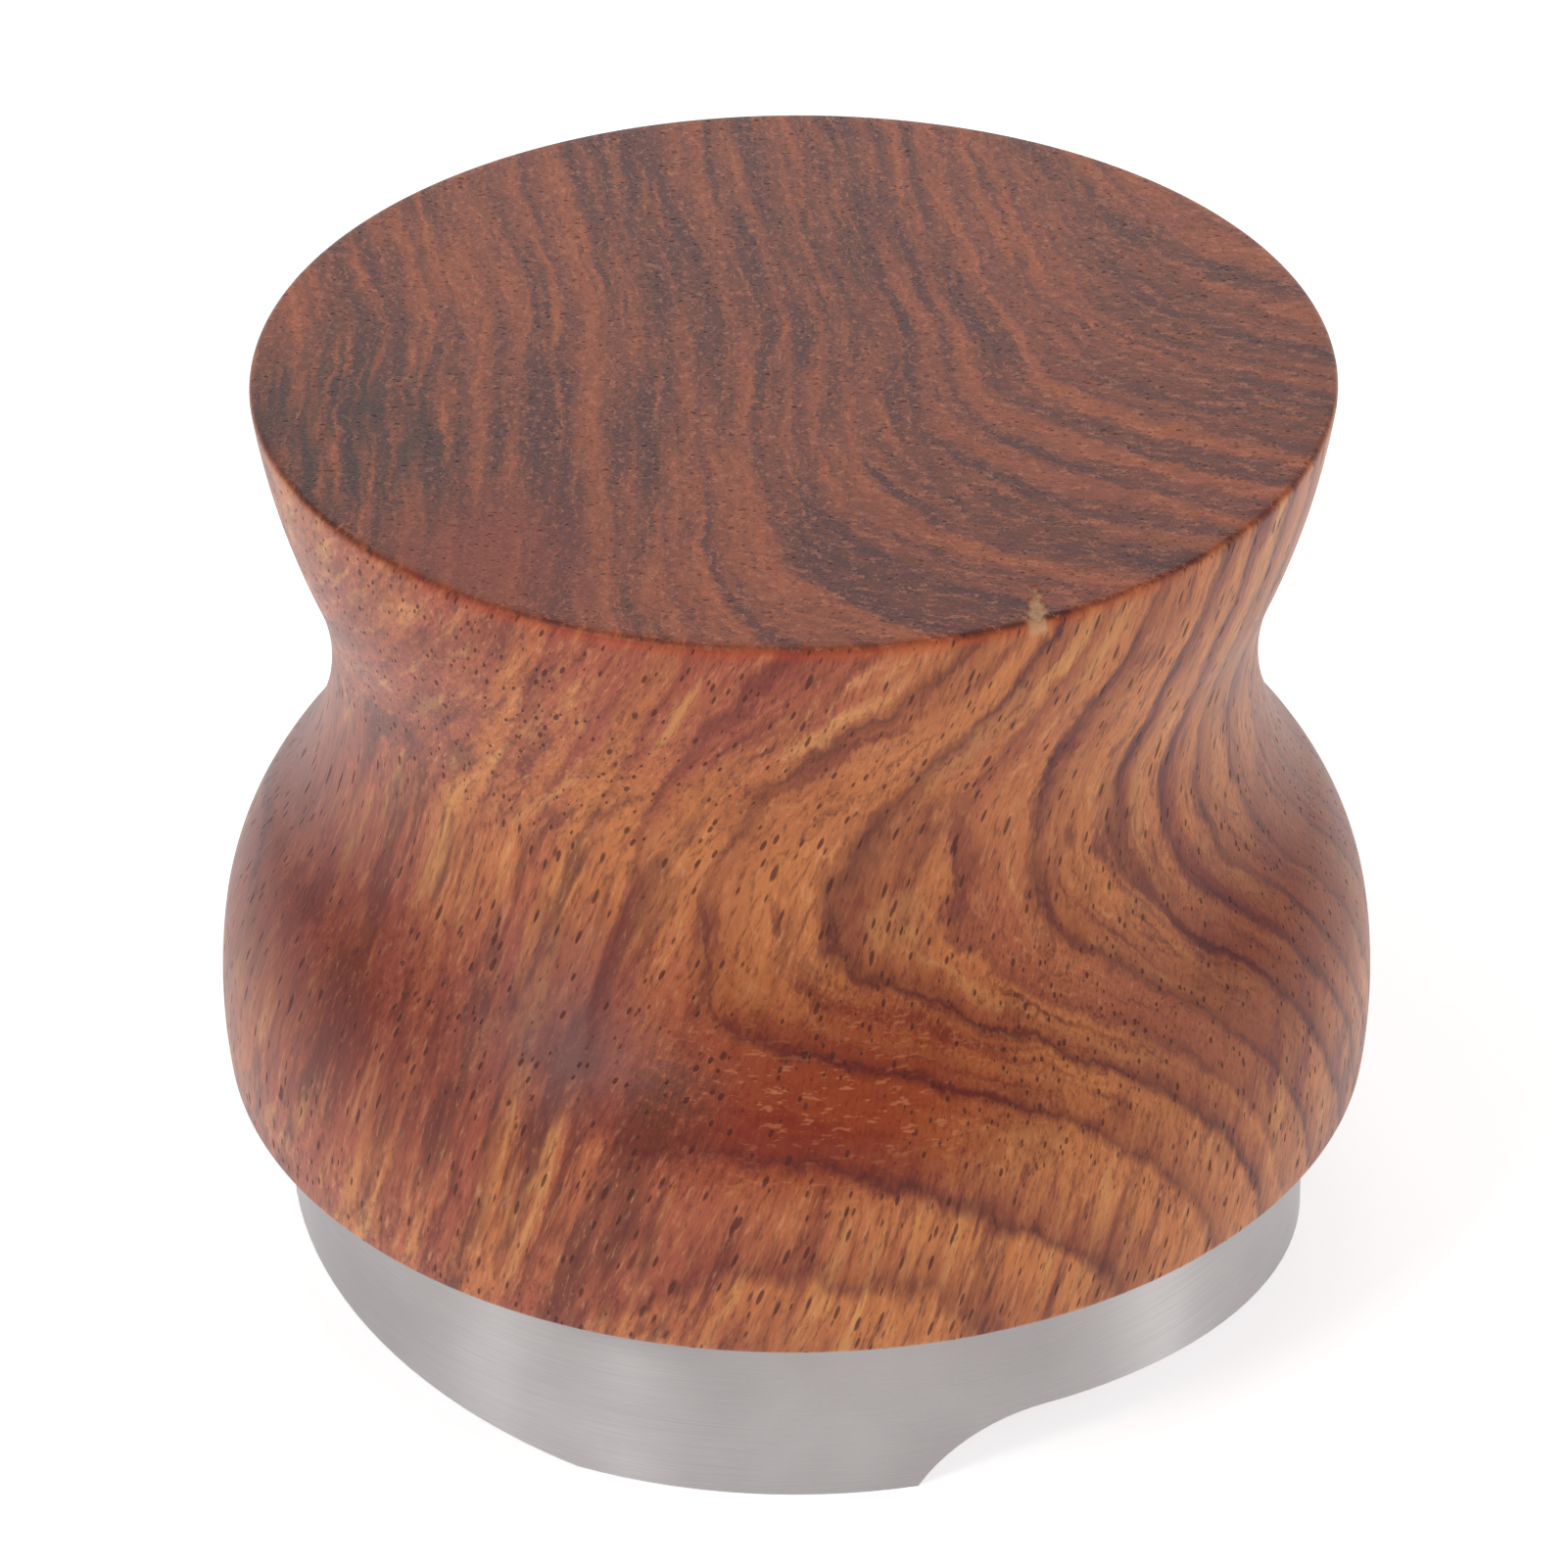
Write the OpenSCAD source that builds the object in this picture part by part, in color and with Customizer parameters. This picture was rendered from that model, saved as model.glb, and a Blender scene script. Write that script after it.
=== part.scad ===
// Palm coffee distributor: a steel foot with swept blades under a turned wooden handle.
// The handle's underside rests on the rim of a filter basket and the blades level the ground coffee.
// Turning the handle on the stem's thread sets how deep the blades reach.
// Z = 0 is the plane of the blades' lands. -Y is the front.

/* [Foot] */
// Diameter of the foot's wall, which goes inside a filter basket
foot_d = 58; // [56:0.5:58.5]
// Number of blades
blade_count = 3; // [2:1:4]
// Tilt of each blade's slope, in degrees
slope_angle = 7.8; // [5:0.1:8.5]
// Arc from a step to the line where its slope meets the land, in degrees
slope_arc = 85; // [70:1:88]
// Radius that sweeps each slope down into its step
sweep_r = 8.7; // [4:0.1:10]
// Where the first step stands, in degrees from the front towards +X
step_turn = 10; // [0:1:119]
// Height of the full-diameter wall above the lands
wall_h = 11.4; // [10.8:0.1:11.6]

/* [Handle outline] */
// Height of the handle
handle_h = 42.9; // [42:0.1:46]
// Largest radius, at the belly
belly_r = 32.55; // [32.2:0.05:34]
// Height of the belly's largest radius above the handle's underside
belly_h = 4.2; // [3:0.1:5]
// Radius of the belly's curve
belly_curve = 30; // [26:0.5:34]
// Radius of the shoulder's curve, above the belly
shoulder_curve = 15.2; // [14:0.1:16]
// Radius of the waist's hollow curve
waist_curve = 16.85; // [16:0.05:18]
// Radius of the curve below the top rim
crown_curve = 43.5; // [40:0.5:50]
// Slope of the outline where the belly's curve ends, in degrees
belly_turn = 8; // [6:0.5:10]
// Slope of the outline where the shoulder's curve ends, in degrees
shoulder_turn = 37.8; // [36:0.1:39]
// Slope of the outline where the waist's curve ends, in degrees
waist_turn = 21.9; // [20:0.1:23]
// Radius on the handle's top and bottom edges
edge_r = 0.4; // [0.2:0.1:1]

/* [Depth setting] */
// How far the lands reach below the handle's underside
depth = 11.85; // [11.7:0.05:12.2]
// How far the handle can rise or sink from that setting
travel = 3; // [1:0.5:3]

/* [Thread] */
// Thread diameter of the stem
thread_d = 24; // [22:1:25]
// Thread pitch
pitch = 1.5; // [1:0.25:1.75]
// Radial clearance of the thread and of the other running fits
running_gap = 0.05; // [0.02:0.01:0.1]

/* [Hidden] */
$fn = 96;
fuzz = 0.01;       // how far a cut runs past the face it opens
face_gap = 0.03;   // between flat faces that slide on each other
glue_gap = 0.1;    // round and above a piece that is bedded in glue
fastener_count = 3;

// Foot: a thick plate with a rim that stands up inside the handle's recess
foot_r = foot_d / 2;
recess_r = foot_r + 0.3;
guide_r = foot_r - 0.3;
rim_overlap = 2.2;                          // what is left of the rim inside the handle at its highest
rim_top_h = depth + travel + rim_overlap;
rim_inner_r = guide_r - 3.2;
plate_h = 10.5;

// Seal ring in a groove round the rim
seal_wire_r = 0.9;
seal_ring_r = recess_r - running_gap - seal_wire_r;
seal_h = rim_top_h - 1.6;
seal_groove_h = 2 * (seal_wire_r + running_gap);

// Stem, screwed down on the plate
stem_r = thread_d / 2 - running_gap;
flange_r = stem_r + 7.5;
flange_h = 3;
spigot_r = 8;
spigot_h = 2.5;
stem_foot_h = plate_h + flange_h;
relief_r = stem_r - 0.65 * pitch;
thread_foot_h = stem_foot_h + 1.35 * pitch;
chamfer = 0.55 * pitch;
keyway_w = 3;
keyway_floor_r = stem_r - 1.7;

// Machine screws that hold the stem on the foot
stem_screw_r = 1.5;
stem_screw_head_r = 2.85;
stem_screw_socket_r = 1.15;
stem_screw_length = 8;
stem_screw_point_h = 0.5;
stem_screw_circle_r = stem_r + 3.15;

// Insert that carries the handle's thread. These heights are measured from the handle's underside
recess_h = 8.5;
insert_foot_h = recess_h - 3;
insert_flange_r = rim_inner_r - 1.1;
insert_top_h = 25.5;
thread_r = thread_d / 2;
thread_top_h = insert_foot_h + 8 * pitch;
sleeve_r = thread_r + 4.9;
stack_r = thread_r + 2.5;

// Wood screws that hold the insert in the handle
wood_screw_r = 1.9;
wood_screw_head_r = 3.4;
wood_screw_socket_r = 1.3;
wood_screw_length = 16;
wood_screw_point_h = 3;
wood_screw_circle_r = 20.4;

// Friction stack above the thread: spring, shim, keyed washer and snap ring
ring_gap = 0.1;
spring_t = 0.4;
spring_rise = 1.6;
spring_waves = 3;
spring_outer_r = stack_r - 0.3;
spring_inner_r = thread_r + 0.7;
spring_h = thread_top_h + face_gap;
shim_t = 0.5;
shim_inner_r = thread_r + 0.4;
shim_h = spring_h + spring_t + spring_rise + face_gap;
keyed_t = 1.5;
keyed_h = shim_h + shim_t + face_gap;
tongue_w = keyway_w - 0.2;
tongue_reach_r = keyway_floor_r + 0.2;
tongue_root = 1;
snap_t = 1;
snap_h = keyed_h + keyed_t + face_gap;
snap_groove_r = stack_r + 0.8;
snap_outer_r = snap_groove_r - face_gap;
snap_inner_r = stack_r - 0.9;
snap_opening = 40;
lug_r = 1.2;
lug_hole_r = 0.55;
lug_circle_r = snap_inner_r + 0.25;
lug_turn = snap_opening / 2 + 6;

// The stem still reaches through the keyed washer at the top of the travel, and the handle's
// cavity still clears the stem at the bottom of it
end_gap = 1;
stem_top_h = depth + travel + keyed_h + keyed_t + end_gap;
cavity_r = thread_r + 1.5;
cavity_top_h = stem_top_h - depth + travel + end_gap;

// ---- Shared shapes ----

// Points of an arc from one angle to another
function arc(centre, radius, start, end, steps) =
    [for (i = [0:steps]) let (a = start + (end - start) * i / steps)
        centre + radius * [cos(a), sin(a)]];

// Copies its children evenly round the Z axis
module around(count) {
    for (i = [0:count - 1]) rotate([0, 0, i * 360 / count]) children();
}

// Flat ring that stands on Z = 0
module ring(outer_r, inner_r, h) {
    difference() {
        cylinder(r = outer_r, h = h);
        translate([0, 0, -fuzz]) cylinder(r = inner_r, h = h + 2 * fuzz);
    }
}

// Countersunk screw: its head's face is at Z = 0 and its point is below
module countersunk_screw(shank_r, head_r, length, point_h, socket_r) {
    head_h = head_r - shank_r;
    socket_h = head_h * 0.8;
    difference() {
        union() {
            translate([0, 0, -head_h]) cylinder(r1 = shank_r, r2 = head_r, h = head_h);
            translate([0, 0, point_h - length]) cylinder(r = shank_r, h = length - point_h - head_h);
            translate([0, 0, -length]) cylinder(r1 = shank_r * 0.3, r2 = shank_r, h = point_h);
        }
        translate([0, 0, -socket_h]) cylinder(r = socket_r, h = socket_h + fuzz, $fn = 6);
    }
}

// Hole for such a screw
module countersunk_hole(shank_r, head_r, length) {
    head_h = head_r - shank_r;
    translate([0, 0, -head_h]) cylinder(r1 = shank_r, r2 = head_r, h = head_h);
    translate([0, 0, -length]) cylinder(r = shank_r, h = length);
}

// ---- Handle: turns and rises ----

// Half outline: four tangent arcs, with an edge radius at each end
function handle_outline() =
    let (
        belly_c = [belly_r - belly_curve, belly_h],
        shoulder_c = belly_c + (belly_curve - shoulder_curve) * [cos(belly_turn), sin(belly_turn)],
        waist_c = shoulder_c + (shoulder_curve + waist_curve) * [cos(shoulder_turn), sin(shoulder_turn)],
        crown_c = waist_c - (waist_curve + crown_curve) * [cos(waist_turn), -sin(waist_turn)],
        lip_turn = asin((edge_r - belly_h) / (belly_curve - edge_r)),
        lip_c = belly_c + (belly_curve - edge_r) * [cos(lip_turn), sin(lip_turn)],
        rim_turn = asin((handle_h - edge_r - crown_c.y) / (crown_curve - edge_r)),
        rim_c = crown_c + (crown_curve - edge_r) * [cos(rim_turn), sin(rim_turn)]
    )
    concat(
        arc(lip_c, edge_r, -90, lip_turn, 6),
        arc(belly_c, belly_curve, lip_turn, belly_turn, 12),
        arc(shoulder_c, shoulder_curve, belly_turn, shoulder_turn, 14),
        arc(waist_c, waist_curve, 180 + shoulder_turn, 180 - waist_turn, 26),
        arc(crown_c, crown_curve, -waist_turn, rim_turn, 14),
        arc(rim_c, edge_r, rim_turn, 90, 6)
    );

module at_wood_screws() {
    around(fastener_count) translate([wood_screw_circle_r, 0, insert_foot_h]) mirror([0, 0, 1]) children();
}

module wood_handle() {
    color("sienna") translate([0, 0, depth]) difference() {
        rotate_extrude() polygon(concat([[0, 0]], handle_outline(), [[0, handle_h]]));
        translate([0, 0, -fuzz]) cylinder(r = recess_r, h = recess_h + fuzz);
        cylinder(r = sleeve_r + glue_gap, h = insert_top_h + glue_gap);
        cylinder(r = cavity_r, h = cavity_top_h);
        at_wood_screws()
            countersunk_hole(wood_screw_r + running_gap, wood_screw_head_r, wood_screw_length + end_gap);
    }
}

module handle_insert() {
    color("goldenrod") translate([0, 0, depth]) difference() {
        translate([0, 0, insert_foot_h]) union() {
            cylinder(r = insert_flange_r, h = recess_h - insert_foot_h);
            cylinder(r = sleeve_r, h = insert_top_h - insert_foot_h);
        }
        cylinder(r = thread_r, h = insert_top_h);
        translate([0, 0, insert_foot_h - fuzz])
            cylinder(r1 = thread_r + chamfer, r2 = thread_r, h = chamfer);
        translate([0, 0, thread_top_h - chamfer])
            cylinder(r1 = thread_r, r2 = thread_r + chamfer, h = chamfer);
        translate([0, 0, thread_top_h]) cylinder(r = stack_r, h = insert_top_h);
        translate([0, 0, snap_h - face_gap]) cylinder(r = snap_groove_r, h = snap_t + 2 * face_gap);
        at_wood_screws() translate([0, 0, running_gap]) countersunk_hole(
            wood_screw_r + running_gap, wood_screw_head_r + 2 * running_gap, wood_screw_length);
    }
}

module insert_screws() {
    color("silver") translate([0, 0, depth]) at_wood_screws() countersunk_screw(
        wood_screw_r, wood_screw_head_r, wood_screw_length, wood_screw_point_h, wood_screw_socket_r);
}

// Height of the wave spring's underside at an angle
function wave_height(angle) = spring_rise * (1 - cos(spring_waves * angle)) / 2;

// Flat wire bent into waves: one four-cornered section at each step round the ring
module wave_spring() {
    steps = 72;
    corners = [[spring_inner_r, 0], [spring_outer_r, 0],
        [spring_outer_r, spring_t], [spring_inner_r, spring_t]];
    sides = len(corners);
    points = [for (i = [0:steps - 1], c = corners) let (a = i * 360 / steps)
        [c.x * cos(a), c.x * sin(a), c.y + wave_height(a)]];
    faces = [for (i = [0:steps - 1], k = [0:sides - 1])
        let (here = sides * i, next = sides * ((i + 1) % steps), m = (k + 1) % sides)
        each [[here + k, next + m, next + k], [here + k, here + m, next + m]]];
    color("lightsteelblue") translate([0, 0, depth + spring_h]) polyhedron(points = points, faces = faces);
}

module shim_washer() {
    color("gainsboro") translate([0, 0, depth + shim_h]) ring(stack_r - ring_gap, shim_inner_r, shim_t);
}

module at_snap_lugs() {
    for (side = [-1, 1]) rotate([0, 0, side * lug_turn]) translate([lug_circle_r, 0, 0]) children();
}

// Open ring with two drilled lugs for the pliers
module snap_ring() {
    mouth = [for (a = [-snap_opening / 2, snap_opening / 2]) 2 * snap_outer_r * [cos(a), sin(a)]];
    color("dimgray") translate([0, 0, depth + snap_h]) difference() {
        union() {
            difference() {
                ring(snap_outer_r, snap_inner_r, snap_t);
                translate([0, 0, -fuzz]) linear_extrude(snap_t + 2 * fuzz)
                    polygon(concat([[0, 0]], mouth));
            }
            at_snap_lugs() cylinder(r = lug_r, h = snap_t);
        }
        at_snap_lugs() translate([0, 0, -fuzz]) cylinder(r = lug_hole_r, h = snap_t + 2 * fuzz);
    }
}

// ---- Keyed washer: rises with the handle, but its tongues in the keyways stop it turning ----

module keyed_washer() {
    color("ivory") translate([0, 0, depth + keyed_h]) union() {
        ring(stack_r - ring_gap, thread_r + running_gap, keyed_t);
        around(2) translate([tongue_reach_r, -tongue_w / 2, 0])
            cube([thread_r + tongue_root - tongue_reach_r, tongue_w, keyed_t]);
    }
}

// ---- Foot: the fixed body ----

// The space under one blade's slope, from the step on the +X side round to the land. The section
// is a wall that sweeps into the slope, and it is drawn out along the slope's own line at the step.
module slope_cut() {
    length = 1.2 * foot_r;
    width = 1.3 * foot_r;
    line_tilt = atan(tan(slope_angle) * sin(slope_arc));
    fall = atan(tan(slope_angle) * cos(slope_arc) * cos(line_tilt));
    sweep_c = sweep_r * [1, -(1 + sin(fall)) / cos(fall)];
    rotate([0, -line_tilt, 0]) rotate([90, 0, 90]) linear_extrude(length)
        polygon(concat(
            arc(sweep_c, sweep_r, 180, 90 - fall, 18),
            [[width, -width * tan(fall)], [width, -plate_h], [0, -plate_h]]
        ));
}

module at_stem_screws() {
    around(fastener_count) translate([0, stem_screw_circle_r, stem_foot_h]) children();
}

module distributor_foot() {
    color("lightgray") difference() {
        union() {
            cylinder(r = foot_r, h = wall_h);
            cylinder(r = guide_r, h = rim_top_h);
        }
        translate([0, 0, plate_h]) cylinder(r = rim_inner_r, h = rim_top_h);
        translate([0, 0, plate_h - spigot_h - glue_gap])
            cylinder(r = spigot_r + running_gap, h = rim_top_h);
        translate([0, 0, seal_h - seal_groove_h / 2])
            ring(foot_r, seal_ring_r - seal_wire_r, seal_groove_h);
        at_stem_screws() translate([0, 0, -stem_screw_length - glue_gap])
            cylinder(r = stem_screw_r + running_gap, h = stem_screw_length);
        rotate([0, 0, step_turn - 90]) around(blade_count) slope_cut();
    }
}

module threaded_stem() {
    color("darkgray") difference() {
        union() {
            translate([0, 0, plate_h - spigot_h]) cylinder(r = spigot_r, h = 2 * spigot_h);
            translate([0, 0, plate_h]) cylinder(r = flange_r, h = flange_h);
            translate([0, 0, plate_h]) cylinder(r = relief_r, h = stem_top_h - plate_h - chamfer);
            translate([0, 0, thread_foot_h]) cylinder(r1 = relief_r, r2 = stem_r, h = stem_r - relief_r);
            translate([0, 0, thread_foot_h + stem_r - relief_r])
                cylinder(r = stem_r, h = stem_top_h - chamfer - thread_foot_h - stem_r + relief_r);
            translate([0, 0, stem_top_h - chamfer])
                cylinder(r1 = stem_r, r2 = stem_r - chamfer, h = chamfer);
        }
        around(2) translate([keyway_floor_r, -keyway_w / 2, thread_foot_h])
            cube([stem_r, keyway_w, stem_top_h]);
        at_stem_screws() translate([0, 0, running_gap]) countersunk_hole(
            stem_screw_r + running_gap, stem_screw_head_r + 2 * running_gap, stem_screw_length);
    }
}

module stem_screws() {
    color("silver") at_stem_screws() countersunk_screw(
        stem_screw_r, stem_screw_head_r, stem_screw_length, stem_screw_point_h, stem_screw_socket_r);
}

module rim_seal() {
    color("black") rotate_extrude() translate([seal_ring_r, seal_h]) circle(r = seal_wire_r);
}

wood_handle();
handle_insert();
insert_screws();
wave_spring();
shim_washer();
keyed_washer();
snap_ring();
distributor_foot();
threaded_stem();
stem_screws();
rim_seal();
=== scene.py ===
"""Looks for the palm coffee distributor: a turned hardwood handle on a brushed steel foot.

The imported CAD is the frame. The wooden handle is turned again here on a finer mesh, with a small
torn fleck on its rim. Every other piece keeps its CAD mesh. Each one gets a procedural material in
object space, so its pattern stays with it when the handle turns.
"""

import math
from types import SimpleNamespace

import bmesh
import bpy
from mathutils import Matrix, Vector, noise


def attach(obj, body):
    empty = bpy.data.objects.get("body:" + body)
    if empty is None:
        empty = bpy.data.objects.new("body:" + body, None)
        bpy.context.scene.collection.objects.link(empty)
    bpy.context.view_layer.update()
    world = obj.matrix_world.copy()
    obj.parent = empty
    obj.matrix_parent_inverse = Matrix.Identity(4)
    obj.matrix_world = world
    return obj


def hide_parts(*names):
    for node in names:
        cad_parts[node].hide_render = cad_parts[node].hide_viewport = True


MM = 0.001

# ---- Handle dimensions in mm, as in the CAD source ----
DEPTH = 11.85
HANDLE_H = 42.9
BELLY_R, BELLY_H = 32.55, 4.2
BELLY_CURVE, SHOULDER_CURVE, WAIST_CURVE, CROWN_CURVE = 30.0, 15.2, 16.85, 43.5
BELLY_TURN, SHOULDER_TURN, WAIST_TURN = (math.radians(a) for a in (8.0, 37.8, 21.9))
EDGE_R = 0.4
FOOT_R = 29.0
RECESS_R, RECESS_H = FOOT_R + 0.3, 8.5
SLEEVE_BORE_R, SLEEVE_BORE_H = 17.0, 25.6
CAVITY_R = 13.5
TOP_Z = DEPTH + HANDLE_H

# Fineness of the handle's mesh, and the turn in degrees from which an edge is shaded crisp
HANDLE_SEGMENTS, TOP_RINGS, CRISP_ANGLE = 360, 60, 40

# Torn fleck on the rim: name of its mark on the mesh, place in degrees from the front, size in mm
FLECK = "fleck"
FLECK_TURN, FLECK_RIM_R = 25.2, 29.4
FLECK_LENGTH, FLECK_WIDTH, FLECK_DEPTH = 3.4, 1.2, 0.22
FLECK_START, FLECK_DOWN = -1.5, 1.2  # where it starts in front of that place, and its reach down the side
FLECK_MARGIN, FLECK_CUTS = 0.6, 5  # the finer faces round it


# ---- Node helper ----

class Graph:
    """A material's node tree, built with short calls. Values are sockets or plain numbers."""

    def __init__(self, name):
        self.material = bpy.data.materials.new(name)
        self.material.use_nodes = True
        self.tree = self.material.node_tree
        self.tree.nodes.clear()

    def put(self, socket, value):
        """Links a socket to the input, or sets its plain value."""
        if value is None:
            return
        if isinstance(value, bpy.types.NodeSocket):
            self.tree.links.new(value, socket)
        else:
            socket.default_value = value

    def node(self, kind, inputs=None, **settings):
        made = self.tree.nodes.new("ShaderNode" + kind)
        for name, value in settings.items():
            setattr(made, name, value)
        for name, value in (inputs or {}).items():
            self.put(made.inputs[name], value)
        return made

    def math(self, operation, a, b=None, c=None, clamp=False):
        made = self.node("Math", operation=operation, use_clamp=clamp)
        for socket, value in zip(made.inputs, (a, b, c)):
            self.put(socket, value)
        return made.outputs[0]

    def add(self, *terms):
        total = terms[0]
        for term in terms[1:]:
            total = self.math("ADD", total, term)
        return total

    def mul(self, *factors):
        product = factors[0]
        for factor in factors[1:]:
            product = self.math("MULTIPLY", product, factor)
        return product

    def sum_of(self, *pairs):
        """Sum of socket * number, for each pair."""
        total = 0.0
        for socket, factor in pairs:
            total = self.math("MULTIPLY_ADD", socket, factor, total)
        return total

    def remap(self, value, low, high, to_low=0.0, to_high=1.0, smooth=True):
        made = self.node("MapRange", {"Value": value, "From Min": low, "From Max": high,
                                      "To Min": to_low, "To Max": to_high},
                         interpolation_type="SMOOTHSTEP" if smooth else "LINEAR")
        return made.outputs["Result"]

    def vector(self, x, y, z):
        return self.node("CombineXYZ", {"X": x, "Y": y, "Z": z}).outputs[0]

    def parts(self, vector):
        return self.node("SeparateXYZ", {"Vector": vector}).outputs

    def scaled(self, vector, by):
        made = self.node("VectorMath", operation="MULTIPLY")
        self.put(made.inputs[0], vector)
        self.put(made.inputs[1], by)
        return made.outputs[0]

    def noise(self, vector, scale=1.0, detail=2.0, roughness=0.5, distortion=0.0):
        made = self.node("TexNoise", {"Vector": vector, "Scale": scale, "Detail": detail,
                                      "Roughness": roughness, "Distortion": distortion})
        return made.outputs["Fac"]

    def cells(self, vector, scale=1.0, feature="F1"):
        made = self.node("TexVoronoi", {"Vector": vector, "Scale": scale}, feature=feature)
        return made.outputs["Distance"], made.outputs["Color"]

    def mix(self, factor, a, b, blend="MIX"):
        made = self.node("Mix", data_type="RGBA", blend_type=blend)
        self.put(made.inputs["Factor"], factor)
        self.put(made.inputs[6], a)
        self.put(made.inputs[7], b)
        return made.outputs[2]

    def blend(self, factor, a, b):
        """A number that goes from a to b."""
        made = self.node("Mix", data_type="FLOAT")
        for socket, value in zip((made.inputs["Factor"], made.inputs[2], made.inputs[3]), (factor, a, b)):
            self.put(socket, value)
        return made.outputs[0]

    def ramp(self, value, stops):
        """Colour ramp with stops of (place, (red, green, blue))."""
        made = self.node("ValToRGB", {"Fac": value})
        elements = made.color_ramp.elements
        elements.remove(elements[-1])
        for index, (place, levels) in enumerate(stops):
            stop = elements[0] if index == 0 else elements.new(place)
            stop.position = place
            stop.color = (*levels, 1.0)
        return made.outputs["Color"]

    def place_mm(self):
        """The point on the piece in mm, in the frame at rest."""
        place = self.node("TexCoord").outputs["Object"]
        return self.scaled(place, (1 / MM,) * 3)

    def bump(self, height, distance, strength=1.0, normal=None):
        made = self.node("Bump", {"Height": height, "Distance": distance, "Strength": strength,
                                  "Normal": normal})
        return made.outputs["Normal"]

    def surface(self, colour, roughness, normal=None, **sockets):
        """Ends the tree with a Principled shader. Socket names are given with _ for a space."""
        shader = self.node("BsdfPrincipled", {"Base Color": colour, "Roughness": roughness,
                                              "Normal": normal})
        for name, value in sockets.items():
            self.put(shader.inputs[name.replace("_", " ")], value)
        self.node("OutputMaterial", {"Surface": shader.outputs[0]})
        return self.material


def srgb(red, green, blue):
    """Linear colour of a screen colour with parts from 0 to 255."""
    def linear(part):
        part = part / 255
        return part / 12.92 if part <= 0.04045 else ((part + 0.055) / 1.055) ** 2.4
    return (linear(red), linear(green), linear(blue), 1.0)


# ---- Wood ----

# Screen colours of the wood
TAN, RED_TAN = srgb(192, 114, 62), srgb(164, 82, 58)
GOLD, PALE_GOLD = srgb(210, 146, 84), srgb(214, 148, 98)
RED_BROWN, DARK_BROWN = srgb(120, 52, 38), srgb(100, 44, 32)
SMEAR_BROWN, HAIR_DARK, HAIR_LIGHT = srgb(92, 40, 32), srgb(84, 36, 26), srgb(228, 170, 122)
GLOW_RED, RIPPLE, OLIVE = srgb(136, 40, 10), srgb(216, 140, 92), srgb(84, 50, 28)
# Painted sheen (a pale grey painted reflection) on the belly's left, and painted shade on the belly's
# flanks
PAINTED_SHEEN_GREY, PAINTED_FLANK_SHADE = srgb(122, 84, 84), srgb(112, 38, 26)
LINE_SHADE, LINE_DARK = srgb(128, 44, 32), srgb(66, 16, 22)
# The first colour below is painted light in the front rim's thin edge
PAINTED_RIM_LIGHT, PORE_DARK, TORN_WOOD = srgb(176, 62, 24), srgb(76, 26, 20), srgb(196, 150, 112)
END_DARK, END_LIGHT = srgb(90, 38, 29), srgb(164, 80, 42)
END_STREAK_LIGHT, END_STREAK_DARK = srgb(196, 102, 50), srgb(80, 34, 34)
END_LINE, END_FLECK_LIGHT, END_FLECK_DARK = srgb(76, 26, 34), srgb(206, 128, 94), srgb(74, 32, 28)
SOOT, FLAME = srgb(48, 32, 28), srgb(138, 54, 34)

# Dark ring lines across the log: place in mm, darkness, and how far the warm shade reaches in mm
RING_LINES = [
    (-28.3, 0.5, 1.2), (-26.4, 0.4, 1.0), (-24.2, 0.6, 1.2), (-22.4, 1.0, 1.6), (-19.7, 0.5, 1.0),
    (-17.9, 0.35, 0.8), (-16.2, 0.45, 1.0), (-14.3, 0.45, 0.9), (-12.5, 1.0, 1.6),
    (-9.6, 0.7, 0.9), (-8.4, 0.4, 0.9), (-6.9, 0.6, 1.1), (-4.9, 0.9, 1.6), (-1.9, 0.75, 1.3),
    (0.2, 1.0, 1.1), (1.6, 0.45, 1.0), (3.3, 0.8, 1.5),
    (5.8, 1.0, 1.3), (7.7, 0.9, 1.1), (9.4, 0.85, 1.3), (11.5, 0.8, 1.6), (14.5, 0.7, 1.4),
    (16.6, 0.5, 1.4), (19.8, 0.6, 1.8), (23.0, 0.5, 1.8),
]
RING_BANDS = [-32.0, -15.2, -3.4, 8.6, 28.0]  # each band of rings has its own colour ramp
LINE_EDGE = 0.3  # width of a line's edge in mm
BEND = 10.0  # how softly the sheets of rings run into each other, in mm

# Olive smudges on the belly: centre and radii in mm, and strength
SMUDGES = [
    ((-7.0, -31.0, 26.5), (4.2, 6.0, 4.6), 0.8),
    ((1.0, -31.0, 31.5), (2.0, 6.0, 4.0), 0.8),
    ((-26.0, -18.0, 26.0), (3.0, 6.0, 12.0), 0.7),
]

# Pores: how many cells to a mm across the fibre, the largest pore as a part of a cell, and its length
LARGE_PORES, SMALL_PORES, LONG_SLITS = (1.5, 0.22), (2.4, 0.26), (0.7, 0.14)
PORE_STRETCH = 5


def ring_stops(low, high):
    """Ramp stops of (place, (line, shade, tone)) for the rings from low to high."""
    span = high - low
    lines = [line for line in RING_LINES if low < line[0] < high]
    stops = [(low, (0.0, 0.0, 0.5))]
    # The tones step round between 0 and 1, so that neighbouring rings differ
    for number, (place, dark, reach) in enumerate(lines):
        tone_before, tone = ((n * 0.62 + 0.3) % 1.0 for n in (number, number + 1))
        stops += [
            (place - LINE_EDGE, (0.0, 0.0, tone_before)),
            (place, (dark, dark, tone)),
            (place + LINE_EDGE, (0.25 * dark, 0.85 * dark, tone)),
            (place + reach, (0.0, 0.0, tone)),
        ]
    stops.append((high, (0.0, 0.0, 0.5)))
    return [((place - low) / span, levels) for place, levels in sorted(stops)]


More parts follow.
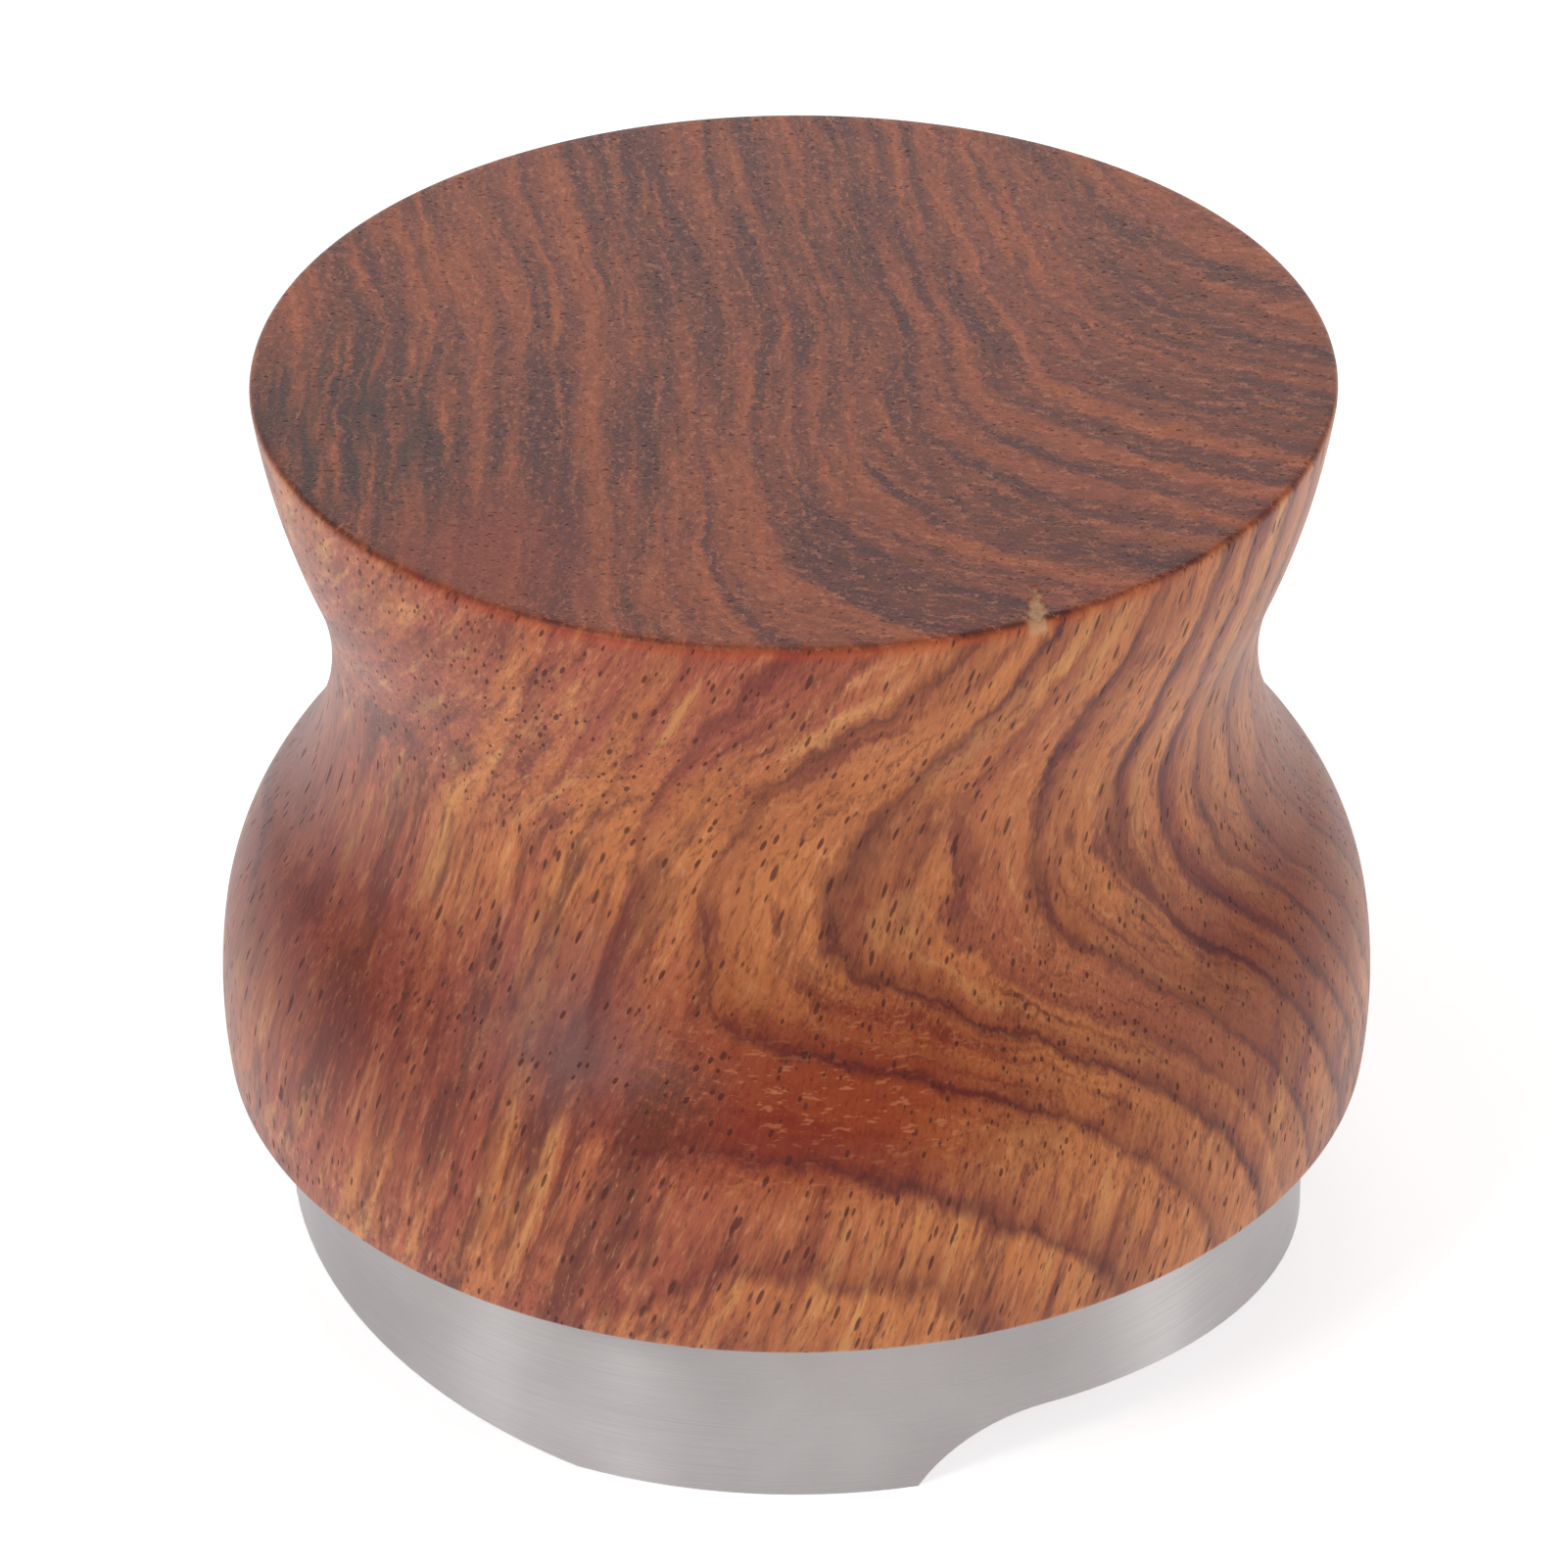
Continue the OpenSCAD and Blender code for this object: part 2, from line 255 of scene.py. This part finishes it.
def ring_pattern(g, rings):
    """The dark line, the warm shade inside it and the ring's own tone, at a place across the rings."""
    pattern = None
    for low, high in zip(RING_BANDS, RING_BANDS[1:]):
        band = g.ramp(g.remap(rings, low, high, smooth=False), ring_stops(low, high))
        inside = g.math("GREATER_THAN", rings, low)
        pattern = band if pattern is None else g.mix(inside, pattern, band)
    return g.parts(pattern)


def ring_field(g, x, y, down):
    """Distance across the growth rings in mm. The rings are three sheets that bend into each other:
    one across the log, one that faces the front right, and one that closes under the front."""
    face_turn = math.radians(63)
    back = g.math("MAXIMUM", g.add(y, -5.0), 0.0)
    across = g.sum_of((x, 1.0), (down, 0.26), (back, 0.15))
    facing = g.sum_of((x, math.cos(face_turn)), (y, math.sin(face_turn)), (down, 0.37))
    facing = g.mul(g.add(facing, 18.0), 0.52)
    under = g.mul(g.add(g.sum_of((y, 1.0), (down, -0.39)), 36.7), 0.664)
    bent = g.math("SMOOTH_MIN", across, facing, BEND)
    return g.math("SMOOTH_MIN", bent, under, BEND)


def blob(g, place, centre, radii):
    """A soft spot: 1 at its centre and 0 outside its radii."""
    offset = g.node("VectorMath", operation="SUBTRACT")
    g.put(offset.inputs[0], place)
    g.put(offset.inputs[1], centre)
    shrunk = g.scaled(offset.outputs[0], tuple(1 / r for r in radii))
    length = g.node("VectorMath", operation="LENGTH")
    g.put(length.inputs[0], shrunk)
    return g.remap(length.outputs["Value"], 1.0, 0.2)


def pores(g, wood, density, largest):
    """Cut vessels: dashes along the fibre on the side, and dots where the end grain shows."""
    space = g.vector(g.mul(wood.fibre_x, density), g.mul(wood.y, density),
                     g.mul(wood.down, density / PORE_STRETCH))
    distance, kind = g.cells(space)
    size = g.remap(g.parts(kind)[0], 0.15, 1.0, 0.0, largest, smooth=False)
    return g.remap(g.math("SUBTRACT", distance, size), 0.04, -0.06)


def place_rings(g, wood):
    """Adds the rings, which wander slowly and have ragged edges where the fibres cross them."""
    x, y, down = wood.x, wood.y, wood.down
    wander = g.add(g.noise(wood.place, 0.09, 1.0), -0.5)
    wobble = g.add(g.noise(g.vector(x, y, g.mul(down, 0.5)), 0.5, 2.0), -0.5)
    ragged = g.add(g.noise(g.vector(x, y, g.mul(down, 0.25)), 3.5, 2.0), -0.5)
    raggedness = g.math("MULTIPLY_ADD", wood.end_grain, 0.35, 0.35)
    rings = ring_field(g, x, y, down)
    wood.rings = g.add(rings, g.mul(wander, 1.6), g.mul(wobble, 0.9), g.mul(ragged, raggedness))
    wood.line, wood.shade, wood.ring_tone = ring_pattern(g, wood.rings)


def place_streaks(g, wood):
    """Adds fine hairs, dark smears, and broad and fine streaks."""
    x, y, down, rings = wood.x, wood.y, wood.down, wood.rings

    # Fibres lean to the left on the way down, more so on the upper left
    lean = g.mul(g.math("MINIMUM", down, 16.0), wood.on_left, 0.22)
    fibre_x = wood.fibre_x = g.add(g.sum_of((x, 1.0), (down, 0.28)), lean)
    wood.hair = g.noise(g.vector(fibre_x, g.mul(y, 0.7), g.mul(down, 0.14)), 4.5, 3.0, 0.75)
    wood.smear = g.noise(g.vector(fibre_x, g.mul(y, 0.5), g.mul(down, 0.10)), 0.45, 3.0, 0.7)

    # Streaks follow the rings at the top and right, and the fibres at the left and below
    upright = g.math("MAXIMUM", g.remap(down, 28.0, 34.0), g.remap(x, 0.0, -14.0))
    upright = g.mul(upright, g.math("SUBTRACT", 1.0, wood.end_grain))
    wood.broad = g.blend(
        upright,
        g.noise(g.vector(rings, g.mul(y, 0.10), g.mul(down, 0.09)), 1.0, 3.0, 0.6),
        g.noise(g.vector(fibre_x, g.mul(y, 0.35), g.mul(down, 0.09)), 0.85, 3.0, 0.6))
    wood.fine = g.blend(
        upright,
        g.noise(g.vector(g.mul(rings, 3.4), g.mul(y, 0.35), g.mul(down, 0.22)), 1.0, 3.0, 0.65),
        g.noise(g.vector(fibre_x, g.mul(y, 0.5), g.mul(down, 0.10)), 2.4, 3.0, 0.65))
    wood.flecks = g.noise(g.vector(g.mul(rings, 6.0), g.mul(y, 1.5), g.mul(x, 0.6)), 1.0, 3.0, 0.75)


def wood_fields(g):
    """Everything that the wood's colours, pores and bumps are painted from, at one point."""
    wood = SimpleNamespace(place=g.place_mm())
    wood.x, wood.y, z = g.parts(wood.place)
    wood.down = g.math("SUBTRACT", TOP_Z, z)
    wood.end_grain = g.remap(z, TOP_Z - 0.30, TOP_Z - 0.02)
    wood.on_left = g.remap(wood.x, 4.0, -16.0)
    wood.front = g.remap(wood.y, 2.0, -14.0)
    place_rings(g, wood)
    place_streaks(g, wood)
    return wood


def streaked_colour(g, wood):
    """Broad tones, then gold, red-brown and dark streaks."""
    side = g.math("MULTIPLY_ADD", wood.x, 0.010, g.noise(wood.place, 0.05, 1.0))
    tone = g.add(g.mul(wood.ring_tone, 0.3), g.mul(side, 0.7))
    dusk = g.mul(g.math("MULTIPLY_ADD", g.mul(wood.on_left, wood.front), 0.45, 0.3),
                 g.remap(wood.down, 5.0, 16.0, 0.4, 1.0))
    layers = [
        (wood.broad, 0.53, 0.72, 0.75, GOLD),
        (wood.broad, 0.48, 0.30, 0.85, RED_BROWN),
        (wood.fine, 0.55, 0.75, 0.55, PALE_GOLD),
        (wood.fine, 0.46, 0.28, 0.7, DARK_BROWN),
        (wood.smear, 0.52, 0.38, dusk, SMEAR_BROWN),
        (wood.hair, 0.50, 0.30, 0.65, HAIR_DARK),
        (wood.hair, 0.54, 0.72, 0.32, HAIR_LIGHT),
    ]
    return paint(g, g.mix(g.remap(tone, 0.30, 0.62), RED_TAN, TAN), layers)


def paint(g, colour, layers):
    """Lays colours over each other. Each layer starts and is full at two levels of its noise."""
    for level, start, full, strength, paint_colour in layers:
        colour = g.mix(g.mul(g.remap(level, start, full), strength), colour, paint_colour)
    return colour


def side_colour(g, wood):
    """The colour of the turned side, with its local figure, ring lines, a painted sheen and painted shade
    on the belly, and painted light on the thin front rim.
    """
    place, down = wood.place, wood.down
    colour = streaked_colour(g, wood)

    # A red glow at the front with short pale ripples, a painted sheen at its left (a pale grey painted
    # reflection), and painted shade that darkens the belly's flanks
    glow = blob(g, place, (2.0, -31.0, 27.0), (16.0, 12.0, 7.5))
    colour = g.mix(g.mul(glow, 0.8), colour, GLOW_RED)
    ripple = g.noise(g.vector(g.mul(wood.x, 0.9), g.mul(wood.y, 0.9), g.mul(down, 3.2)), 1.0, 2.0, 0.7)
    colour = g.mix(g.mul(glow, g.remap(ripple, 0.56, 0.66), 0.42), colour, RIPPLE)
    # Painted sheen: a soft pale grey reflection painted on the belly, left of the front
    painted_sheen = blob(g, place, (-14.5, -28.0, 30.0), (9.0, 9.0, 8.0))
    colour = g.mix(g.mul(painted_sheen, 0.62), colour, PAINTED_SHEEN_GREY)
    for centre, radii, strength in SMUDGES:
        smudge = g.mul(blob(g, place, centre, radii), g.remap(wood.hair, 0.66, 0.38), strength)
        colour = g.mix(smudge, colour, OLIVE)
    # Painted shade: the belly darkens towards its left and right flanks
    belly = g.mul(g.remap(down, 18.0, 26.0), g.remap(down, 38.0, 30.0))
    painted_flank_shade = g.mul(belly, g.remap(g.math("ABSOLUTE", wood.x), 12.0, 28.0), 0.6)
    colour = g.mix(painted_flank_shade, colour, PAINTED_FLANK_SHADE)

    # Ring lines have a dark edge and a warm shade inside it, and fade on the front left
    faded = g.mul(wood.on_left, wood.front, g.math("SUBTRACT", 1.0, wood.end_grain), -0.7)
    patchy = g.remap(g.add(g.mul(wood.fine, 0.5), g.mul(wood.broad, 0.5)), 0.35, 0.6, 1.0, 0.6)
    patchy = g.mul(patchy, g.add(faded, 1.0))
    colour = g.mix(g.mul(wood.shade, patchy, 0.7), colour, LINE_SHADE)
    colour = g.mix(g.mul(wood.line, patchy, 0.9), colour, LINE_DARK)

    # Painted light: the front rim's thin edge is brighter and redder, where light shines through it
    edge = g.mul(g.remap(down, 1.0, 0.3), g.remap(wood.y, -18.0, -26.0), 0.4)
    return g.mix(edge, colour, PAINTED_RIM_LIGHT)


def end_colour(g, wood):
    """The colour of the end grain: wide soft bands, fine streaks and short light flecks."""
    rings, y = wood.rings, wood.y
    bands = g.noise(g.vector(g.mul(rings, 0.32), g.mul(y, 0.025), 3.0), 1.0, 2.0, 0.6)
    streaks = g.noise(g.vector(g.mul(rings, 1.5), g.mul(y, 0.07), 5.0), 1.0, 4.0, 0.75)
    tone = g.remap(g.add(g.mul(wood.broad, 0.4), g.mul(bands, 0.6)), 0.39, 0.60)
    colour = paint(g, g.mix(tone, END_DARK, END_LIGHT), [
        (streaks, 0.50, 0.68, 0.6, END_STREAK_LIGHT),
        (streaks, 0.49, 0.34, 0.65, END_STREAK_DARK),
    ])
    colour = g.mix(g.mul(g.sum_of((wood.line, 0.35), (wood.shade, 0.65)), 0.75), colour, END_LINE)
    colour = paint(g, colour, [
        (wood.flecks, 0.52, 0.66, 0.52, END_FLECK_LIGHT),
        (wood.flecks, 0.48, 0.34, 0.5, END_FLECK_DARK),
    ])
    soot = blob(g, wood.place, (-25.0, -8.0, TOP_Z), (11.0, 19.0, 6.0))
    colour = g.mix(g.mul(soot, g.remap(streaks, 0.66, 0.36), 0.8), colour, SOOT)
    flame = blob(g, wood.place, (-16.0, -20.0, TOP_Z), (9.0, 10.0, 6.0))
    return g.mix(g.mul(flame, 0.5), colour, FLAME)


def wood_material():
    g = Graph("figured_hardwood")
    wood = wood_fields(g)
    hair = wood.hair
    colour = g.mix(wood.end_grain, side_colour(g, wood), end_colour(g, wood))
    fleck = g.node("Attribute", attribute_name=FLECK).outputs["Fac"]
    colour = g.mix(g.mul(fleck, g.remap(hair, 0.3, 0.7, 1.0, 0.7)), colour, TORN_WOOD)

    round_pores = g.math("MAXIMUM", pores(g, wood, *LARGE_PORES), pores(g, wood, *SMALL_PORES))
    slits = g.mul(pores(g, wood, *LONG_SLITS), g.remap(wood.down, 33.0, 37.0), 0.8)
    pore = g.math("MAXIMUM", round_pores, slits)
    pore_strength = g.remap(wood.end_grain, 0.0, 1.0, 0.8, 0.35, smooth=False)
    colour = g.mix(g.mul(pore, pore_strength), colour, PORE_DARK)

    height = g.sum_of((pore, -1.0), (hair, 0.6), (wood.flecks, 0.3))
    normal = g.bump(height, 0.07 * MM, 0.9)
    roughness = g.add(g.remap(hair, 0.3, 0.7, 0.34, 0.44), g.mul(pore, 0.2))
    return g.surface(colour, roughness, normal, Specular_IOR_Level=0.28,
                     Sheen_Weight=0.09, Sheen_Roughness=0.4)


# ---- Metals, plastic and rubber ----

def turned(g):
    """Cylinder coordinates of the point: angle, radius in mm and height in mm."""
    x, y, z = g.parts(g.place_mm())
    angle = g.math("ARCTAN2", y, x)
    radius = g.math("SQRT", g.add(g.mul(x, x), g.mul(y, y)))
    return angle, radius, z


def turned_metal(name, light, dark, roughness, mark=0.12, depth=0.004, anisotropic=0.5):
    """Metal with fine marks from turning or brushing that run round the Z axis."""
    g = Graph(name)
    angle, radius, z = turned(g)
    brush = g.noise(g.vector(g.mul(angle, 5.0), g.mul(radius, 9.0), g.mul(z, 9.0)), 1.0, 3.0, 0.6)
    hairs = g.noise(g.vector(g.mul(angle, 2.0), g.mul(radius, 28.0), g.mul(z, 28.0)), 1.0, 2.0, 0.6)
    cloud = g.noise(g.place_mm(), 0.12, 2.0)
    marks = g.add(g.mul(brush, 0.5), g.mul(hairs, 0.5))
    colour = g.mix(g.remap(g.add(g.mul(marks, 0.7), g.mul(cloud, 0.3)), 0.35, 0.65), dark, light)
    gloss = g.remap(marks, 0.3, 0.7, roughness - mark / 2, roughness + mark / 2)
    normal = g.bump(marks, depth * MM, 0.6)
    tangent = g.node("Tangent", direction_type="RADIAL", axis="Z").outputs[0]
    return g.surface(colour, gloss, normal, Metallic=1.0, Anisotropic=anisotropic,
                     Anisotropic_Rotation=0.25, Tangent=tangent)


def moulded(name, light, dark, roughness, grain=6.0, depth=0.01):
    """Plastic or rubber with a fine moulded grain and faint flow marks."""
    g = Graph(name)
    place = g.place_mm()
    flow = g.noise(place, 0.5, 3.0, 0.6, 0.8)
    specks = g.noise(place, grain, 2.0, 0.7)
    colour = g.mix(g.remap(flow, 0.35, 0.65), dark, light)
    gloss = g.remap(g.add(g.mul(flow, 0.5), g.mul(specks, 0.5)), 0.35, 0.65,
                    roughness - 0.06, roughness + 0.08)
    return g.surface(colour, gloss, g.bump(specks, depth * MM, 0.5))


# ---- Turned handle ----

def arc(centre, radius, start, end, steps):
    return [(centre[0] + radius * math.cos(start + (end - start) * i / steps),
             centre[1] + radius * math.sin(start + (end - start) * i / steps))
            for i in range(steps + 1)]


def handle_outline():
    """The outside of the handle as (radius, height above its underside), from the underside up."""
    def along(turn):
        return Vector((math.cos(turn), math.sin(turn)))

    belly_c = Vector((BELLY_R - BELLY_CURVE, BELLY_H))
    shoulder_c = belly_c + (BELLY_CURVE - SHOULDER_CURVE) * along(BELLY_TURN)
    waist_c = shoulder_c + (SHOULDER_CURVE + WAIST_CURVE) * along(SHOULDER_TURN)
    crown_c = waist_c - (WAIST_CURVE + CROWN_CURVE) * along(-WAIST_TURN)
    lip_turn = math.asin((EDGE_R - BELLY_H) / (BELLY_CURVE - EDGE_R))
    lip_c = belly_c + (BELLY_CURVE - EDGE_R) * along(lip_turn)
    rim_turn = math.asin((HANDLE_H - EDGE_R - crown_c.y) / (CROWN_CURVE - EDGE_R))
    rim_c = crown_c + (CROWN_CURVE - EDGE_R) * along(rim_turn)
    arcs = [
        arc(lip_c, EDGE_R, -math.pi / 2, lip_turn, 6),
        arc(belly_c, BELLY_CURVE, lip_turn, BELLY_TURN, 16),
        arc(shoulder_c, SHOULDER_CURVE, BELLY_TURN, SHOULDER_TURN, 16),
        arc(waist_c, WAIST_CURVE, math.pi + SHOULDER_TURN, math.pi - WAIST_TURN, 32),
        arc(crown_c, CROWN_CURVE, -WAIST_TURN, rim_turn, 20),
        arc(rim_c, EDGE_R, rim_turn, math.pi / 2, 6),
    ]
    points = arcs[0]
    for piece in arcs[1:]:
        points += piece[1:]
    return points


def lathe(name, outline, segments, detail=None):
    """Closed mesh turned round Z from an outline that starts and ends on the axis. Sizes in mm.
    detail changes the mesh before it is finished."""
    mesh = bmesh.new()
    rings = []
    for radius, height in outline:
        if radius < 1e-6:
            rings.append([mesh.verts.new((0, 0, height * MM))])
        else:
            rings.append([mesh.verts.new((radius * MM * math.cos(2 * math.pi * i / segments),
                                          radius * MM * math.sin(2 * math.pi * i / segments),
                                          height * MM)) for i in range(segments)])
    for low, high in zip(rings, rings[1:]):
        for i in range(segments):
            j = (i + 1) % segments
            corners = [low[i % len(low)], low[j % len(low)], high[j % len(high)], high[i % len(high)]]
            mesh.faces.new(list(dict.fromkeys(corners)))
    if detail:
        detail(mesh)
    bmesh.ops.recalc_face_normals(mesh, faces=mesh.faces)
    for face in mesh.faces:
        face.smooth = True
    data = bpy.data.meshes.new(name)
    mesh.to_mesh(data)
    mesh.free()
    made = bpy.data.objects.new(name, data)
    bpy.context.scene.collection.objects.link(made)
    return made


def tear_fleck(mesh):
    """Tears a shallow sliver out of the rim, on finer faces, and marks it for the material."""
    turn = math.radians(FLECK_TURN)
    rim = Vector((FLECK_RIM_R * math.sin(turn), -FLECK_RIM_R * math.cos(turn), TOP_Z))

    def local(point):
        offset = point / MM - rim
        return offset.y, offset.x, offset.z

    def near(face):
        along, across, up = local(face.calc_center_median())
        beside = abs(across) < FLECK_WIDTH + FLECK_MARGIN
        return FLECK_START < along < FLECK_LENGTH + 1 and beside and up > -2.0

    chosen = dict.fromkeys(edge for face in mesh.faces if near(face) for edge in face.edges)
    bmesh.ops.subdivide_edges(mesh, edges=list(chosen), cuts=FLECK_CUTS, use_grid_fill=True)
    mark = mesh.verts.layers.float.new(FLECK)
    for vertex in mesh.verts:
        along, across, up = local(vertex.co)
        if up < -FLECK_DOWN or not FLECK_START < along < FLECK_LENGTH:
            continue
        ragged = 0.35 * noise.noise(Vector((along * 1.6, across * 1.6, 7.0)))
        half_width = 0.5 * FLECK_WIDTH * math.sqrt(max(0.0, 1 - along / FLECK_LENGTH)) + ragged
        inside = min(1.0, max(0.0, (half_width - abs(across)) / 0.25))
        inside *= min(1.0, max(0.0, (up + 1.0) / 0.6))
        rough = 0.75 + 0.5 * noise.noise(Vector((along * 5.0, across * 9.0, 3.0)))
        vertex.co.z -= FLECK_DEPTH * inside * rough * MM
        vertex[mark] = inside


def turned_handle():
    outer = [(r, DEPTH + h) for r, h in handle_outline()]
    rim_r = outer[-1][0]
    top = [(rim_r * (1 - i / TOP_RINGS), TOP_Z) for i in range(1, TOP_RINGS + 1)]
    inside = [
        (0.0, DEPTH + cavity_top()), (CAVITY_R, DEPTH + cavity_top()), (CAVITY_R, DEPTH + SLEEVE_BORE_H),
        (SLEEVE_BORE_R, DEPTH + SLEEVE_BORE_H), (SLEEVE_BORE_R, DEPTH + RECESS_H),
        (RECESS_R, DEPTH + RECESS_H), (RECESS_R, DEPTH),
    ]
    handle = lathe("turned_handle", inside + outer + top, HANDLE_SEGMENTS, detail=tear_fleck)
    handle.data.set_sharp_from_angle(angle=math.radians(CRISP_ANGLE))
    return handle


def cavity_top():
    """Height of the cavity above the handle's underside: the top of the handle's own CAD mesh's
    inside, so that the stem still clears it at its lowest setting."""
    middle = [v.co.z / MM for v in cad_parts["wood_handle"].data.vertices
              if math.hypot(v.co.x, v.co.y) / MM < CAVITY_R + 0.1 and v.co.z / MM < TOP_Z - 1]
    return max(middle) - DEPTH


# ---- Stage ----

def stage_floor():
    bpy.ops.mesh.primitive_plane_add(size=6, location=(0, 0, 0))
    floor = bpy.context.object
    floor.name = "studio_floor"
    g = Graph("studio_floor")
    cloud = g.noise(g.node("TexCoord").outputs["Object"], 3.0, 2.0)
    colour = g.mix(cloud, (0.90, 0.90, 0.90, 1), (0.92, 0.92, 0.92, 1))
    floor.data.materials.append(g.surface(colour, 0.9, Emission_Color=(1, 1, 1, 1), Emission_Strength=0.5))


def area_light(name, direction, distance, size, power):
    """A softbox that faces the object. Direction is (degrees from the front towards +X, degrees up)."""
    turn, rise = (math.radians(angle) for angle in direction)
    outward = Vector((math.sin(turn) * math.cos(rise), -math.cos(turn) * math.cos(rise), math.sin(rise)))
    data = bpy.data.lights.new(name, "AREA")
    data.shape = "RECTANGLE"
    data.size, data.size_y = size
    data.energy = power
    light = bpy.data.objects.new(name, data)
    light.location = Vector((0, 0, 30 * MM)) + outward * distance
    light.rotation_euler = outward.to_track_quat("Z", "Y").to_euler()
    bpy.context.scene.collection.objects.link(light)


def studio_light():
    world = bpy.data.worlds.new("studio")
    bpy.context.scene.world = world
    world.use_nodes = True
    background = world.node_tree.nodes["Background"]
    background.inputs["Color"].default_value = (1.0, 1.0, 1.0, 1.0)
    background.inputs["Strength"].default_value = 0.42
    area_light("key", (-42, 40), 0.8, (0.2, 0.25), 1.3)
    area_light("strip_left", (-66, 12), 0.8, (0.16, 0.7), 0.82)
    area_light("strip_right", (80, 12), 0.8, (0.16, 0.7), 1.1)
    area_light("softbox_back", (180, 20), 0.4, (0.5, 0.2), 0.35)
    area_light("softbox_top", (0, 80), 0.9, (0.6, 0.6), 0.7)


def photo_camera():
    """A long lens from the front, 32 degrees above the horizon."""
    distance, elevation, roll = 481.5 * MM, math.radians(32.267), math.radians(-0.343)
    target = Vector((-0.652, 0.0, 27.92)) * MM
    back = Vector((0.0, -math.cos(elevation), math.sin(elevation)))
    right = Vector((1.0, 0.0, 0.0))
    up = back.cross(right)
    turned_right = right * math.cos(roll) + up * math.sin(roll)
    turned_up = up * math.cos(roll) - right * math.sin(roll)
    data = bpy.data.cameras.new("photo_camera")
    data.lens = 197.0
    data.sensor_width = 36.0
    data.clip_start, data.clip_end = 0.05, 20.0
    camera = bpy.data.objects.new("photo_camera", data)
    basis = Matrix((turned_right, turned_up, back)).transposed()
    camera.matrix_world = Matrix.Translation(target + back * distance) @ basis.to_4x4()
    bpy.context.scene.collection.objects.link(camera)
    bpy.context.scene.camera = camera


# ---- Scene ----

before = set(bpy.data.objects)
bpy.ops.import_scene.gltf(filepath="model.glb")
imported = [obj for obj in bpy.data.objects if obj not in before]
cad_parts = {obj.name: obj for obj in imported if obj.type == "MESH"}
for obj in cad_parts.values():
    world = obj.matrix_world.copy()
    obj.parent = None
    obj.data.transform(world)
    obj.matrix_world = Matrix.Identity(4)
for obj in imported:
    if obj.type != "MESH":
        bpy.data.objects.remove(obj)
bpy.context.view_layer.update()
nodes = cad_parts

bpy.context.scene.view_settings.view_transform = "Standard"
stage_floor()
studio_light()
photo_camera()

handle = turned_handle()
handle.data.materials.append(wood_material())
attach(handle, "handle")
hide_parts("wood_handle")

FINISHES = {
    "distributor_foot": turned_metal("brushed_stainless", srgb(200, 196, 196), srgb(178, 174, 174), 0.42,
                                     anisotropic=0.92),
    "threaded_stem": turned_metal("turned_stainless", srgb(196, 194, 190), srgb(160, 158, 156), 0.30),
    "handle_insert": turned_metal("turned_brass", srgb(214, 178, 96), srgb(176, 138, 66), 0.28),
    "insert_screws": turned_metal("zinc_plate", srgb(198, 200, 206), srgb(164, 168, 178), 0.34),
    "wave_spring": turned_metal("spring_steel", srgb(150, 150, 156), srgb(106, 108, 118), 0.30),
    "shim_washer": turned_metal("ground_shim", srgb(206, 206, 206), srgb(176, 178, 180), 0.22),
    "snap_ring": turned_metal("phosphate", srgb(74, 74, 76), srgb(48, 48, 50), 0.55),
    "keyed_washer": moulded("acetal", srgb(238, 236, 226), srgb(226, 222, 208), 0.40),
    "rim_seal": moulded("seal_rubber", srgb(36, 36, 38), srgb(24, 24, 26), 0.55),
}
FINISHES["stem_screws"] = FINISHES["insert_screws"]
for name, material in FINISHES.items():
    data = nodes[name].data
    data.materials.clear()
    data.materials.append(material)
